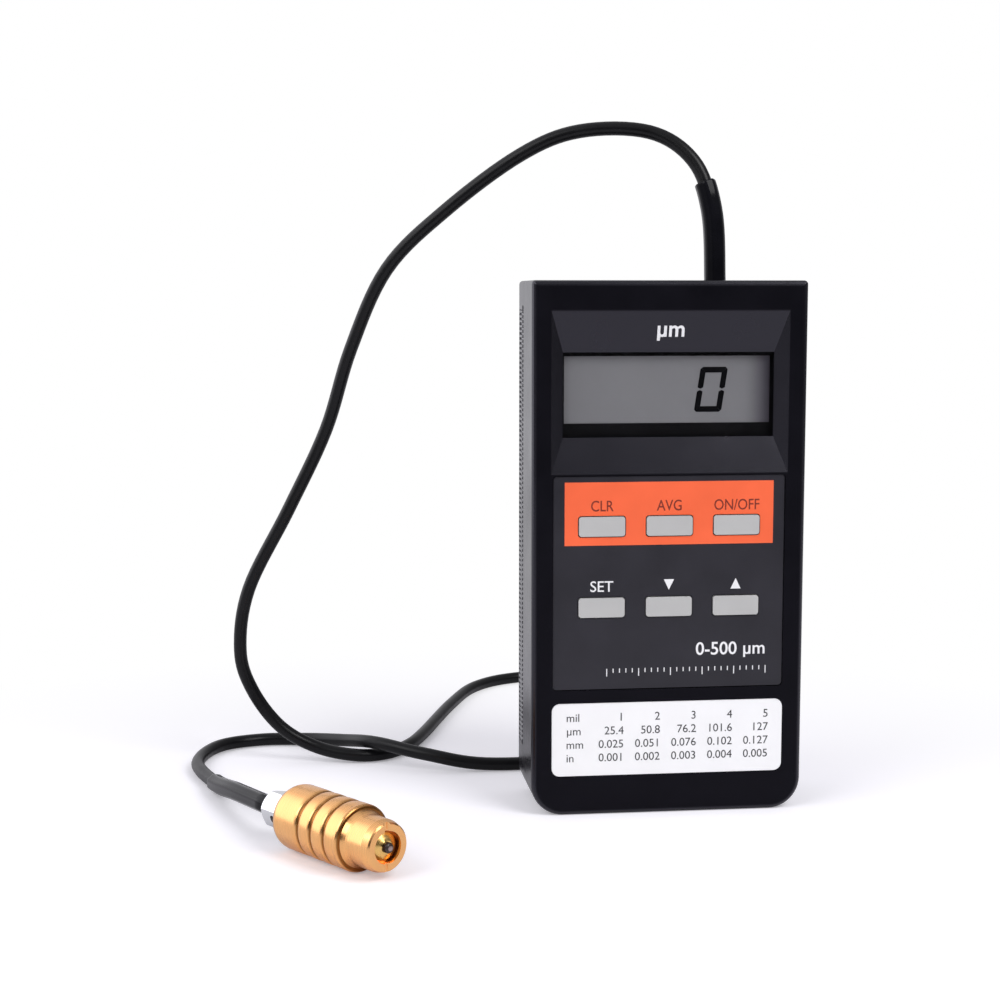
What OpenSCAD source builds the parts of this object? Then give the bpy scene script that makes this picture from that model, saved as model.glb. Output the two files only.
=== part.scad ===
// Hand-held coating thickness gauge with a corded brass probe.
// Millimetres. X across the case, Y from front to back, Z up; the base stands on Z = 0.

/* [Case] */
// Width across the case sides
body_w = 77.5; // [76:0.5:80]
// Depth from the front face to the back face
body_d = 30; // [30:0.5:32]
// Height from the base to the top
body_h = 150; // [149:1:156]
// Radius of the two bottom corners, seen from the front
corner_r = 9; // [6:0.5:10]
// Rounding of the front and back edges
edge_r = 1.6; // [0.8:0.2:2]
// Thickness of the side, top and back walls
wall = 2.2; // [1.8:0.1:2.4]
// Thickness of the front wall
face_t = 2.4; // [2.2:0.1:2.6]
// Distance of the parting plane behind the middle of the case
part_y = 4; // [3.8:0.2:5]
// Depth of the cuts between the grip ribs
grip_cut = 0.35; // [0.2:0.05:0.5]
// Spacing of the grip ribs
grip_pitch = 1.4; // [1.2:0.1:3]

/* [Display] */
// Distance from the case side to the sunk display funnel
recess_border = 5.2; // [4.5:0.1:6]
// Height of the sunk display funnel at the front face
recess_h = 45.5; // [44:0.5:46]
// Depth of the funnel's sloped faces
recess_depth = 3; // [2.4:0.2:3.2]
// Distance from the case side to the display opening
window_border = 8.9; // [8.5:0.1:10]
// Height of the display opening
window_h = 23.6; // [21:0.2:24]
// Distance from the funnel's top edge down to the opening
window_drop = 11.8; // [10:0.2:12.4]

/* [Keypad] */
// Distance from the case side to the keypad overlay
overlay_border = 6; // [5.4:0.1:7]
// Thickness of the keypad overlay
overlay_t = 0.4; // [0.3:0.1:0.5]
// Width of one key
key_w = 13; // [11:0.5:14]
// Height of one key
key_h = 5.5; // [5:0.5:7]
// Travel of one key
key_travel = 0.4; // [0.3:0.05:0.5]
// Distance between key columns
key_pitch_x = 19.1; // [18:0.1:20]
// Distance between key rows
key_pitch_z = 22.8; // [21:0.2:23]

/* [Label] */
// Distance from the case side to the white label
label_border = 5.7; // [5.2:0.1:8]
// Height of the white label
label_h = 20.8; // [18:0.2:21]
// Distance between the label and the keypad overlay
label_gap = 3.9; // [3.6:0.1:5]

/* [Cord] */
// Diameter of the probe cord
cord_d = 4; // [3.6:0.1:4]
// Outside diameter of the sleeve at the case
sleeve_d = 6; // [5.4:0.2:6]
// Outside diameter of the sleeve at the probe
tail_sleeve_d = 5.2; // [5:0.1:5.2]

/* [Probe] */
// Diameter of the brass grip
grip_d = 17.6; // [16:0.2:18]
// Length of the brass grip
grip_l = 29.5; // [28:0.5:31]
// Diameter of the brass nose
nose_d = 13.6; // [13:0.2:15]
// Length of the brass nose outside the grip
nose_l = 10; // [9:0.5:11]
// Travel of the sprung plunger
plunger_travel = 1.5; // [1:0.1:1.6]

/* [Battery door] */
// Height of the battery door's upper edge above the base
door_top = 37; // [36:0.5:38]

/* [Hidden] */
// Clearances: sliding parts, close fits, screws in their holes
slide_gap = 0.25;
fit_gap = 0.05;
screw_gap = 0.05;
eps = 0.1;

// Case planes
yf = -body_d / 2;
yb = body_d / 2;
face_in = yf + face_t;
back_in = yb - wall;
side_in = body_w / 2 - wall;
top_r = 1;
grip_z0 = 16;
grip_z1 = body_h - 7;
groove_w = 2.5;
groove_t = 0.7;

// Display
recess_w = body_w - 2 * recess_border;
window_w = body_w - 2 * window_border;
recess_top = body_h - 8;
recess_bot = recess_top - recess_h;
win_top = recess_top - window_drop;
win_bot = win_top - window_h;
win_mid = (win_top + win_bot) / 2;
land_t = 0.6;
lens_y = yf + recess_depth + land_t;
lens_t = 1.5;
lens_w = window_w + 6;
lens_h = window_h + 6;
lcd_y = lens_y + lens_t + 0.2;
lcd_t = 2.4;
lcd_w = window_w + 6.4;
lcd_h = window_h + 5.4;
holder_rim = 1.7;
strip_x = window_w / 2 - 0.8;

// Circuit board planes
board_y = yf + 10.4;
board_t = 1.6;
board_back = board_y + board_t;

// Label
label_w = body_w - 2 * label_border;
label_mid = 21.7;
label_rec = 0.5;
label_t = 0.3;
label_r = 2.3;

// Keypad
overlay_rec = 0.8;
overlay_w = body_w - 2 * overlay_border;
overlay_top = recess_bot - 0.5;
overlay_bot = label_mid + label_h / 2 + label_gap;
overlay_h = overlay_top - overlay_bot;
overlay_mid = (overlay_top + overlay_bot) / 2;
overlay_back = yf + overlay_rec;
key_row1 = overlay_top - 14;
key_row2 = key_row1 - key_pitch_z;
key_r = 0.8;
key_flange = 1.2;
switch_h = 3.5;
actuator_h = 1;
stem_end = board_y - switch_h - actuator_h - key_travel - 0.05;
key_spots = [for (z = [key_row1, key_row2], c = [-1, 0, 1]) [c * key_pitch_x, z]];

// Circuit board outline and screws
board_w = 2 * (side_in - 2.3);
board_z0 = key_row2 - 7.2;
board_z1 = body_h - 12;
board_post_x = board_w / 2 - 3.5;
board_posts = [for (z = [(key_row1 + key_row2) / 2, recess_bot - 1.5], s = [-1, 1]) [s * board_post_x, z]];
board_screw_d = 2.1;

// Case screws
case_post_x = body_w / 2 - 7;
case_posts = [for (z = [door_top + 6, body_h - 7], s = [-1, 1]) [s * case_post_x, z]];
case_screw_d = 2.9;
post_r = 3.5;
boss_r = 4;
post_end = part_y + 1.95;
boss_end = part_y + 2;
head_seat = yb - 3.2;

// Battery, its tray and the door
battery_l = 46.4;
battery_w = 26.5;
battery_t = 17.5;
tray_x = 28.3;
tray_z0 = 6.6;
tray_z1 = tray_z0 + battery_w + 0.8;
tray_wall = 1.4;
tray_back = yb - 2.1;
battery_y1 = tray_back - 0.25;
battery_y0 = battery_y1 - battery_t;
tray_floor = battery_y0 - 0.35;
battery_x0 = 0.3 - tray_x;
battery_x1 = battery_x0 + battery_l;
battery_mid_z = (tray_z0 + tray_z1) / 2;
terminal_h = 2.1;
terminal_pitch = 12.7;
snap_x0 = battery_x1 + terminal_h + fit_gap;
snap_t = 4.4;
door_x = 29;
door_tongue_x = 30.2;
door_lip_y = tray_back + 1;
door_z0 = 0.3;

// Cord exit at the top of the case
exit_x = 15.5;
exit_y = board_back + 3;
plug_top = body_h - 27;
clamp_z = body_h - 17;

// Probe: grip's rear face centre, heading in the floor plane
probe_x = -104.9;
probe_y = -35.2;
probe_z = grip_d / 2 + 0.05;
probe_yaw = -54.5;
grip_r = grip_d / 2;
nose_r = nose_d / 2;
face_u = grip_l + nose_l;
grip_edge = 1.1;
flare = 0.8;
flare_l = 2.6;
vee_w = 2;
vee_floor = 0.5;
vee_depth = 0.9;
collar_l = 9;
collar_flats = 9;
spigot_d = 7.4;
spigot_l = 5;
chamber_d = 8.6;
nose_spigot_d = 10;
nose_spigot_l = 6;
chamber_end = grip_l - nose_spigot_l;
guide_d = 5.2;
head_d = 7.2;
bore_d = 8.4;
head_u = face_u - 2.5;
bore_floor = head_u - plunger_travel - 0.3;
flange_d = 8.2;
flange_t = 1.5;
flange_u = chamber_end - fit_gap - flange_t;
spring_wire = 0.7;
spring_d = 7.4;
spring_turns = 8;
tip_d = 2.8;

function probe_point(u) =
    [probe_x + u * cos(probe_yaw), probe_y + u * sin(probe_yaw), probe_z];

// Cord route, from inside the top wall to behind the collar of the probe
cord_points = [
    [exit_x, exit_y, body_h - 9],
    [exit_x, exit_y, body_h],
    [14.4, 0.4, 169.8],
    [9.6, 3.6, 183.9],
    [-2, 8.8, 192.1],
    [-21.5, 13, 192.5],
    [-38, 17, 186],
    [-59, 23, 170.5],
    [-76, 29, 153.5],
    [-86.5, 36, 130],
    [-94, 42, 105.5],
    [-105.5, 46, 81],
    [-118, 50, 56],
    [-121, 52.5, 36.5],
    [-117.5, 53.5, 23.5],
    [-109, 54, 11.5],
    [-98, 53, 4.9],
    [-86, 50.5, 2.5],
    [-76.5, 52.5, 2.2],
    [-69, 61, 2.2],
    [-62.5, 77, 2.2],
    [-49.5, 119, 2.2],
    [-38, 147, 2.2],
    [-21.5, 161, 2.2],
    [3, 163, 2.2],
    [29, 147, 2.2],
    [40, 109, 2.2],
    [19, 62, 2.2],
    [-18, 39.5, 2.2],
    [-46, 35.8, 2.3],
    [-65, 39, 5.2],
    [-79.5, 48.5, 6.8],
    [-89, 62, 4.5],
    [-101, 73.5, 2.4],
    [-116, 75, 2.2],
    [-129, 67.5, 2.2],
    [-134.4, 47, 2.2],
    [-128, 20.5, 3.1],
    [-121.3, -1, 6.2],
    probe_point(-14)];

// Rings of the cord between its two straight ends, and the rings that the sleeves cover
cord_rings = 75;
top_sleeve_rings = 3;
tail_sleeve_rings = 4;
cord_end_u = -3;
cord_sides = 12;
sleeve_bore_r = (cord_d / 2 + 3 * fit_gap) / cos(180 / cord_sides);

// Helpers

function unit(v) = v / norm(v);

function arc(cx, cy, r, a0, n) =
    [for (i = [0 : n]) [cx + r * cos(a0 + 90 * i / n), cy + r * sin(a0 + 90 * i / n)]];

// Outline of the case seen from the front, drawn in by inset
function case_outline(inset) = let (
    hw = body_w / 2 - inset,
    rb = max(corner_r - inset, 0.6),
    rt = max(top_r - inset, 0.2),
    z0 = inset,
    z1 = body_h - inset)
    concat(
        arc(-hw + rb, z0 + rb, rb, 180, 12),
        arc(hw - rb, z0 + rb, rb, 270, 12),
        arc(hw - rt, z1 - rt, rt, 0, 3),
        arc(-hw + rt, z1 - rt, rt, 90, 3));

// Extrudes a shape drawn in X and Z from y0 to y1
module along_y(y0, y1) {
    translate([0, y1, 0])
        rotate([90, 0, 0])
            linear_extrude(height = y1 - y0)
                children();
}

module block(x, y, z) {
    translate([x[0], y[0], z[0]])
        cube([x[1] - x[0], y[1] - y[0], z[1] - z[0]]);
}

module rounded_rect(w, h, r) {
    square([w - 2 * r, h], center = true);
    square([w, h - 2 * r], center = true);
    for (sx = [-1, 1], sz = [-1, 1])
        translate([sx * (w / 2 - r), sz * (h / 2 - r)])
            circle(r = r, $fn = 32);
}

module pin_y(x, z, d, y0, y1) {
    along_y(y0, y1)
        translate([x, z])
            circle(d = d, $fn = 48);
}

// Slab of the case between an outer rounded face and the parting plane
module half_case(y_face, y_part) {
    s = sign(y_part - y_face);
    steps = 4;
    layers = concat(
        [for (k = [0 : steps]) let (a = k * 90 / steps)
            [y_face + s * edge_r * (1 - cos(a)), edge_r * (1 - sin(a))]],
        [[y_part, 0]]);
    points = [for (l = layers, q = case_outline(l[1])) [q[0], l[0], q[1]]];
    loft(points, len(layers), len(case_outline(0)), s > 0);
}

// Block with rectangles a at y0 and b at y1, each [x0, x1, z0, z1]
module tapered_block(y0, a, y1, b) {
    polyhedron(
        points = [
            [a[0], y0, a[2]], [a[1], y0, a[2]], [a[1], y0, a[3]], [a[0], y0, a[3]],
            [b[0], y1, b[2]], [b[1], y1, b[2]], [b[1], y1, b[3]], [b[0], y1, b[3]]],
        faces = [[0, 3, 2, 1], [4, 5, 6, 7], [0, 1, 5, 4], [3, 7, 6, 2], [0, 4, 7, 3], [1, 2, 6, 5]]);
}

function curve_point(p, i, t) = let (
    last = len(p) - 1,
    b = p[i],
    c = p[i + 1],
    a = i > 0 ? p[i - 1] : 2 * b - c,
    d = i + 2 <= last ? p[i + 2] : 2 * c - b)
    0.5 * (2 * b + (c - a) * t + (2 * a - 5 * b + 4 * c - d) * t * t
        + (3 * b - a - 3 * c + d) * t * t * t);

function smooth_route(p, n) = concat(
    [for (i = [0 : len(p) - 2], k = [0 : n - 1]) curve_point(p, i, k / n)],
    [p[len(p) - 1]]);

function headings(p) = [for (i = [0 : len(p) - 1])
    unit(p[min(i + 1, len(p) - 1)] - p[max(i - 1, 0)])];

function side_of(t) = unit(cross(t, abs(t[2]) < 0.8 ? [0, 0, 1] : [1, 0, 0]));

// Side vectors carried along the route without twist
function carried(t) = [for (i = 0, n = side_of(t[0]); i < len(t);
    i = i + 1, n = i < len(t) ? unit(n - (n * t[i]) * t[i]) : n) n];

function rings(p, r, sides) = let (t = headings(p), n = carried(t))
    [for (i = [0 : len(p) - 1], j = [0 : sides - 1])
        p[i] + r * (cos(j * 360 / sides) * n[i] + sin(j * 360 / sides) * cross(t[i], n[i]))];

function skin(count, sides, start, flip) = [for (i = [0 : count - 2], j = [0 : sides - 1], h = [0, 1])
    let (
        a = start + i * sides + j,
        b = start + i * sides + (j + 1) % sides,
        c = b + sides,
        d = a + sides)
    h == 0 ? (flip ? [a, c, d] : [a, d, c]) : (flip ? [a, b, c] : [a, c, b])];

// Closed solid through rings of the same number of points
module loft(points, count, sides, flip) {
    up = [for (j = [0 : sides - 1]) j];
    down = [for (j = [sides - 1 : -1 : 0]) j];
    last = (count - 1) * sides;
    polyhedron(
        points = points,
        faces = concat(
            skin(count, sides, 0, flip),
            [flip ? down : up],
            [[for (j = flip ? up : down) last + j]]));
}

module tube(p, r, sides) {
    loft(rings(p, r, sides), len(p), sides, false);
}

module sleeve(p, r_out, r_in, sides) {
    m = len(p) * sides;
    last = (len(p) - 1) * sides;
    polyhedron(
        points = concat(rings(p, r_out, sides), rings(p, r_in, sides)),
        faces = concat(
            skin(len(p), sides, 0, false),
            skin(len(p), sides, m, true),
            [for (j = [0 : sides - 1]) let (k = (j + 1) % sides) [j, k, m + k, m + j]],
            [for (j = [0 : sides - 1]) let (k = (j + 1) % sides)
                [last + k, last + j, m + last + j, m + last + k]]));
}

function run_lengths(p) = [for (i = 0, d = 0; i < len(p);
    i = i + 1, d = i < len(p) ? d + norm(p[i] - p[i - 1]) : d) d];

// Points at equal distances along a route
function even_route(p, n) = let (
    d = run_lengths(p),
    total = d[len(d) - 1],
    axis_table = [for (k = [0 : 2]) [for (i = [0 : len(p) - 1]) [d[i], p[i][k]]]])
    [for (i = [0 : n]) [for (k = [0 : 2]) lookup(total * i / n, axis_table[k])]];

curve = even_route(smooth_route(cord_points, 8), cord_rings);
cord_route = concat([[exit_x, exit_y, plug_top]], curve, [probe_point(cord_end_u)]);

// Puts a piece drawn along Z onto the probe's axis
module at_probe() {
    translate([probe_x, probe_y, probe_z])
        rotate([0, 0, probe_yaw])
            rotate([0, 90, 0])
                children();
}

module turned(points) {
    rotate_extrude($fn = 96)
        polygon(points);
}

module rod(d, u0, u1) {
    translate([0, 0, u0])
        cylinder(d = d, h = u1 - u0, $fn = 64);
}

// Case

module key_openings() {
    for (k = key_spots)
        translate(k)
            rounded_rect(key_w + 2 * slide_gap, key_h + 2 * slide_gap, key_r + slide_gap);
}

module funnel_cut() {
    out = 0.5;
    side = (recess_w - window_w) / 2 / recess_depth * out;
    above = window_drop / recess_depth * out;
    below = (recess_h - window_drop - window_h) / recess_depth * out;
    tapered_block(
        yf - out,
        [-recess_w / 2 - side, recess_w / 2 + side, recess_bot - below, recess_top + above],
        yf + recess_depth,
        [-window_w / 2, window_w / 2, win_bot, win_top]);
    block([-window_w / 2, window_w / 2], [yf + recess_depth - eps, lens_y + eps], [win_bot, win_top]);
}

module front_shell() {
    color([0.06, 0.06, 0.07])
    difference() {
        union() {
            difference() {
                half_case(yf, part_y);
                along_y(face_in, part_y + 1)
                    polygon(case_outline(wall));
            }
            block([-side_in - eps, side_in + eps], [face_in - eps, lens_y], [recess_bot - 3, body_h - wall + eps]);
            for (q = case_posts)
                pin_y(q[0], q[1], 2 * post_r, face_in - eps, post_end);
            for (q = board_posts)
                pin_y(q[0], q[1], 6, face_in - eps, board_y);
        }
        funnel_cut();
        along_y(yf - 1, overlay_back)
            translate([0, overlay_mid])
                rounded_rect(overlay_w + 0.4, overlay_h + 0.4, 1.2);
        along_y(yf, face_in + 1)
            key_openings();
        along_y(yf - 1, yf + label_rec)
            translate([0, label_mid])
                rounded_rect(label_w + 0.4, label_h + 0.4, label_r + 0.2);
        translate([exit_x, exit_y, body_h - wall - 1])
            cylinder(d = sleeve_d + 0.4, h = wall + 2, $fn = 48);
        for (q = case_posts)
            pin_y(q[0], q[1], case_screw_d + 2 * screw_gap, post_end - 13.5, post_end + 1);
        for (q = board_posts)
            pin_y(q[0], q[1], board_screw_d + 2 * screw_gap, face_in + 0.4, board_y + 1);
    }
}

module grip_cuts(s) {
    n = floor((grip_z1 - grip_z0) / grip_pitch);
    along_y(part_y + groove_w, yb - 2)
        scale([s, 1])
            polygon(concat(
                [[body_w / 2 + 0.5, grip_z0]],
                [for (i = [0 : n - 1], k = [0 : 3])
                    [body_w / 2 + (k == 1 || k == 2 ? 0.05 : -grip_cut),
                        grip_z0 + grip_pitch * (i + [0.1, 0.3, 0.65, 0.85][k])]],
                [[body_w / 2 + 0.5, grip_z0 + grip_pitch * n]]));
}

module rear_shell() {
    color([0.07, 0.07, 0.08])
    difference() {
        union() {
            difference() {
                half_case(yb, part_y);
                along_y(part_y - 1, back_in)
                    polygon(case_outline(wall));
            }
            difference() {
                along_y(part_y - 1.5, part_y + 1)
                    polygon(case_outline(wall + 0.1));
                along_y(part_y - 2, part_y + 2)
                    polygon(case_outline(wall + 1.1));
                block([exit_x - 5, exit_x + 5], [part_y - 2, part_y + 0.2], [body_h - 8, body_h]);
            }
            along_y(part_y, part_y + 1)
                difference() {
                    polygon(case_outline(wall - 0.3));
                    polygon(case_outline(wall + 1.1));
                }
            for (q = case_posts)
                pin_y(q[0], q[1], 2 * boss_r, boss_end, back_in + eps);
            block([-tray_x - tray_wall, tray_x + tray_wall], [tray_floor - tray_wall, back_in + eps],
                [tray_z0 - tray_wall, tray_z1 + tray_wall]);
        }
        block([-tray_x, tray_x], [tray_floor, yb + 1], [tray_z0, tray_z1]);
        block([-door_tongue_x - 0.3, door_tongue_x + 0.3], [tray_back, door_lip_y], [-1, door_top + 0.3]);
        block([-door_x - slide_gap, door_x + slide_gap], [door_lip_y - eps, yb + 1], [-1, door_top + 0.3]);
        block([tray_x - 4.4, tray_x], [tray_floor + 1, tray_floor + 8], [tray_z1 - 1, tray_z1 + tray_wall + 1]);
        for (q = case_posts) {
            pin_y(q[0], q[1], 3.4, boss_end - 1, yb + 1);
            pin_y(q[0], q[1], 6.4, head_seat, yb + 1);
        }
        for (s = [-1, 1]) {
            grip_cuts(s);
            block([s * body_w / 2 - groove_t, s * body_w / 2 + groove_t], [part_y - 1, part_y + groove_w],
                [grip_z0, grip_z1]);
        }
    }
}

module battery_door() {
    color([0.08, 0.08, 0.09])
    difference() {
        union() {
            translate([-door_x, 0, 0])
                rotate([90, 0, 90])
                    linear_extrude(height = 2 * door_x)
                        polygon([
                            [tray_back + 0.15, door_z0], [yb - 0.9, door_z0], [yb, door_z0 + 0.9],
                            [yb, door_top], [tray_back + 0.15, door_top]]);
            block([-door_tongue_x, door_tongue_x], [tray_back + 0.15, door_lip_y - 0.2], [door_z0, door_top]);
        }
        for (i = [0 : 5])
            block([-11, 11], [yb - 0.6, yb + 1], [door_z0 + 7 + 2.4 * i, door_z0 + 8.2 + 2.4 * i]);
    }
}

// Display

module display_window() {
    color([0.55, 0.58, 0.6, 0.4])
    block([-lens_w / 2, lens_w / 2], [lens_y, lens_y + lens_t], [win_mid - lens_h / 2, win_mid + lens_h / 2]);
}

module lcd_panel() {
    color([0.45, 0.46, 0.47])
    block([-lcd_w / 2, lcd_w / 2], [lcd_y, lcd_y + lcd_t], [win_mid - lcd_h / 2, win_mid + lcd_h / 2]);
}

module lcd_holder() {
    color([0.15, 0.15, 0.16])
    along_y(lens_y + lens_t + fit_gap, board_y)
        translate([0, win_mid])
            difference() {
                square([lcd_w + 2 * holder_rim, lcd_h + 2 * holder_rim + 0.6], center = true);
                square([lcd_w + 0.3, lcd_h + 0.3], center = true);
            }
}

module contact_strips() {
    color([0.85, 0.5, 0.55])
    for (s = [-1, 1])
        translate([0, 0, win_mid + s * (lcd_h / 2 - 1.6)])
            block([-strip_x, strip_x], [lcd_y + lcd_t, board_y], [-1.1, 1.1]);
}

// Keypad

module keypad_overlay() {
    color([0.16, 0.16, 0.17])
    along_y(overlay_back - overlay_t, overlay_back)
        difference() {
            translate([0, overlay_mid])
                rounded_rect(overlay_w, overlay_h, 1);
            key_openings();
        }
}

module key_cap(i) {
    color([0.78, 0.79, 0.8])
    translate([key_spots[i][0], 0, key_spots[i][1]]) {
        along_y(yf, face_in + 0.5)
            rounded_rect(key_w, key_h, key_r);
        along_y(face_in + 0.1, face_in + 1.1)
            rounded_rect(key_w + 2 * key_flange, key_h + 2 * key_flange, key_r);
        along_y(face_in + 1, stem_end)
            circle(d = 4, $fn = 48);
    }
}

module clear_key() key_cap(0);
module average_key() key_cap(1);
module power_key() key_cap(2);
module set_key() key_cap(3);
module down_key() key_cap(4);
module up_key() key_cap(5);

module key_switches() {
    color([0.1, 0.1, 0.1])
    for (k = key_spots) {
        block([k[0] - 3, k[0] + 3], [board_y - switch_h, board_y], [k[1] - 3, k[1] + 3]);
        pin_y(k[0], k[1], 3.5, board_y - switch_h - actuator_h, board_y - switch_h + eps);
    }
}

module label_plate() {
    color([0.95, 0.95, 0.95])
    along_y(yf + label_rec - label_t, yf + label_rec)
        translate([0, label_mid])
            rounded_rect(label_w, label_h, label_r);
}

// Circuit board and what is on it

module main_board() {
    color([0.08, 0.32, 0.16])
    along_y(board_y, board_back)
        difference() {
            translate([-board_w / 2, board_z0])
                square([board_w, board_z1 - board_z0]);
            for (q = board_posts)
                translate(q)
                    circle(d = board_screw_d + 0.6, $fn = 32);
            for (q = case_posts)
                translate(q)
                    circle(r = post_r + slide_gap, $fn = 32);
            for (s = [-1, 1])
                translate([exit_x + 5 * s, clamp_z])
                    circle(d = 2.2, $fn = 32);
        }
}

// Flat component on the back of the board, its middle at height v above the board's lower edge
module on_board(x, v, w, h, t) {
    z = board_z0 + v;
    block([x - w / 2, x + w / 2], [board_back, board_back + t], [z - h / 2, z + h / 2]);
}

module processor() {
    color([0.05, 0.05, 0.06])
    on_board(0, 33, 14, 14, 1.8);
}

module support_chips() {
    color([0.05, 0.05, 0.06]) {
        on_board(-18, 40, 6, 5, 1.6);
        on_board(16, 26, 6, 5, 1.6);
    }
}

module crystal() {
    color([0.75, 0.75, 0.77])
    along_y(board_back, board_back + 3.6)
        translate([-18, board_z0 + 28])
            rounded_rect(11, 4.6, 2);
}

module capacitors() {
    color([0.1, 0.12, 0.3])
    for (q = [[4, 10], [11, 10], [4, 52]])
        pin_y(q[0], board_z0 + q[1], 5, board_back, board_back + 7);
}

module buzzer() {
    color([0.04, 0.04, 0.05])
    difference() {
        pin_y(-18, board_z0 + 10, 12, board_back, board_back + 6.5);
        pin_y(-18, board_z0 + 10, 2, board_back + 4.5, board_back + 7);
    }
}

module probe_socket() {
    color([0.9, 0.9, 0.86])
    on_board(exit_x, plug_top - 11 - board_z0, 12, 6, 6);
}

module probe_plug() {
    color([0.93, 0.93, 0.9])
    block([exit_x - 5, exit_x + 5], [exit_y - 2.6, exit_y + 2.6], [plug_top - 8, plug_top]);
}

module cord_clamp() {
    color([0.2, 0.2, 0.21])
    difference() {
        block([exit_x - 7, exit_x + 7], [board_back, exit_y + 3.6], [clamp_z - 3.5, clamp_z + 3.5]);
        translate([exit_x, exit_y, clamp_z - 5])
            cylinder(d = cord_d + 0.3, h = 10, $fn = 48);
        for (s = [-1, 1])
            pin_y(exit_x + 5 * s, clamp_z, 2.1, board_back - 1, exit_y + 5);
    }
}

module clamp_screws() {
    color([0.7, 0.7, 0.72])
    for (s = [-1, 1]) {
        pin_y(exit_x + 5 * s, clamp_z, 1.9, board_y, exit_y + 3.7);
        pin_y(exit_x + 5 * s, clamp_z, 3.6, exit_y + 3.6, exit_y + 4.8);
    }
}

module board_screws() {
    color([0.7, 0.7, 0.72])
    for (q = board_posts) {
        pin_y(q[0], q[1], board_screw_d, face_in + 2, board_back + eps);
        pin_y(q[0], q[1], 4.2, board_back, board_back + 1.6);
    }
}

module case_screws() {
    color([0.6, 0.6, 0.62])
    for (q = case_posts)
        difference() {
            union() {
                pin_y(q[0], q[1], case_screw_d, post_end - 12, head_seat + eps);
                pin_y(q[0], q[1], 5.6, head_seat, head_seat + 2);
            }
            for (a = [0, 90])
                translate([q[0], head_seat + 1.6, q[1]])
                    rotate([0, a, 0])
                        cube([3.4, 1.6, 0.7], center = true);
        }
}

// Battery

module battery_block() {
    color([0.15, 0.2, 0.35])
    translate([battery_x0, (battery_y0 + battery_y1) / 2, battery_mid_z])
        rotate([90, 0, 90])
            linear_extrude(height = battery_l)
                rounded_rect(battery_t, battery_w, 2);
}

module battery_terminals() {
    color([0.8, 0.8, 0.8])
    for (s = [-1, 1])
        translate([battery_x1, (battery_y0 + battery_y1) / 2, battery_mid_z + s * terminal_pitch / 2])
            rotate([0, 90, 0])
                cylinder(d = s < 0 ? 5.8 : 8, h = terminal_h, $fn = s < 0 ? 48 : 6);
}

module battery_snap() {
    color([0.05, 0.05, 0.05])
    translate([snap_x0, (battery_y0 + battery_y1) / 2, battery_mid_z])
        rotate([90, 0, 90])
            linear_extrude(height = snap_t)
                rounded_rect(12.5, 25, 3);
}

module lead(dx, dy) {
    x = snap_x0 + snap_t + fit_gap;
    y = (battery_y0 + battery_y1) / 2;
    z = battery_mid_z + 5;
    up_x = case_post_x - post_r - 3.5 + dx;
    run = smooth_route([
        [x + 1.4, y + dy, z],
        [x + 2 + dx / 3, y - 2 + dy, z + 4],
        [x + 1 + dx / 2, y - 4.6 + dy, tray_z1],
        [up_x, y - 4 + dy, (tray_z1 + board_z0 + 3) / 2],
        [up_x - 0.5, board_back + 3, board_z0 + 1],
        [up_x - 1, board_back + 1.5, board_z0 + 4]], 3);
    tube(concat([[x, y + dy, z]], run, [[up_x - 1, board_back + fit_gap, board_z0 + 4]]), 0.6, 8);
}

module red_lead() color([0.7, 0.05, 0.05]) lead(0, 2);
module black_lead() color([0.03, 0.03, 0.03]) lead(-1.6, 0.4);

// Cord and probe

module case_sleeve() {
    color([0.05, 0.05, 0.05])
    sleeve([for (i = [0 : top_sleeve_rings]) curve[i]], sleeve_d / 2, sleeve_bore_r, cord_sides);
}

module probe_cord() {
    color([0.04, 0.04, 0.045])
    tube(cord_route, cord_d / 2, cord_sides);
}

module tail_sleeve() {
    color([0.06, 0.06, 0.065])
    sleeve([for (i = [len(cord_route) - 2 - tail_sleeve_rings : len(cord_route) - 1]) cord_route[i]],
        tail_sleeve_d / 2, sleeve_bore_r, cord_sides);
}

module probe_collar() {
    color([0.85, 0.86, 0.88])
    at_probe()
        difference() {
            union() {
                intersection() {
                    rotate([0, 0, 20])
                        translate([0, 0, -collar_l])
                            cylinder(d = collar_flats / cos(30), h = collar_l, $fn = 6);
                    turned([[0, -collar_l], [4.5, -collar_l], [5.3, 0.8 - collar_l], [5.3, -0.4], [4.9, 0],
                        [0, 0]]);
                }
                rod(spigot_d, -eps, spigot_l);
            }
            rod(tail_sleeve_d + 0.2, -collar_l - 1, cord_end_u + fit_gap);
            rod(2.6, cord_end_u - eps, spigot_l + 1);
            rotate([0, 0, 20 + 270])
                translate([0, 0, -4])
                    rotate([0, 90, 0])
                        cylinder(d = 2.5, h = 8, $fn = 48);
        }
}

module collar_screw() {
    color([0.12, 0.12, 0.13])
    at_probe()
        rotate([0, 0, 20 + 270])
            translate([3, 0, -4])
                rotate([0, 90, 0])
                    difference() {
                        cylinder(d = 2.5 - 2 * fit_gap, h = 1.1, $fn = 48);
                        translate([0, 0, 0.4])
                            cylinder(d = 1.3, h = 2, $fn = 6);
                    }
}

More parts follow.
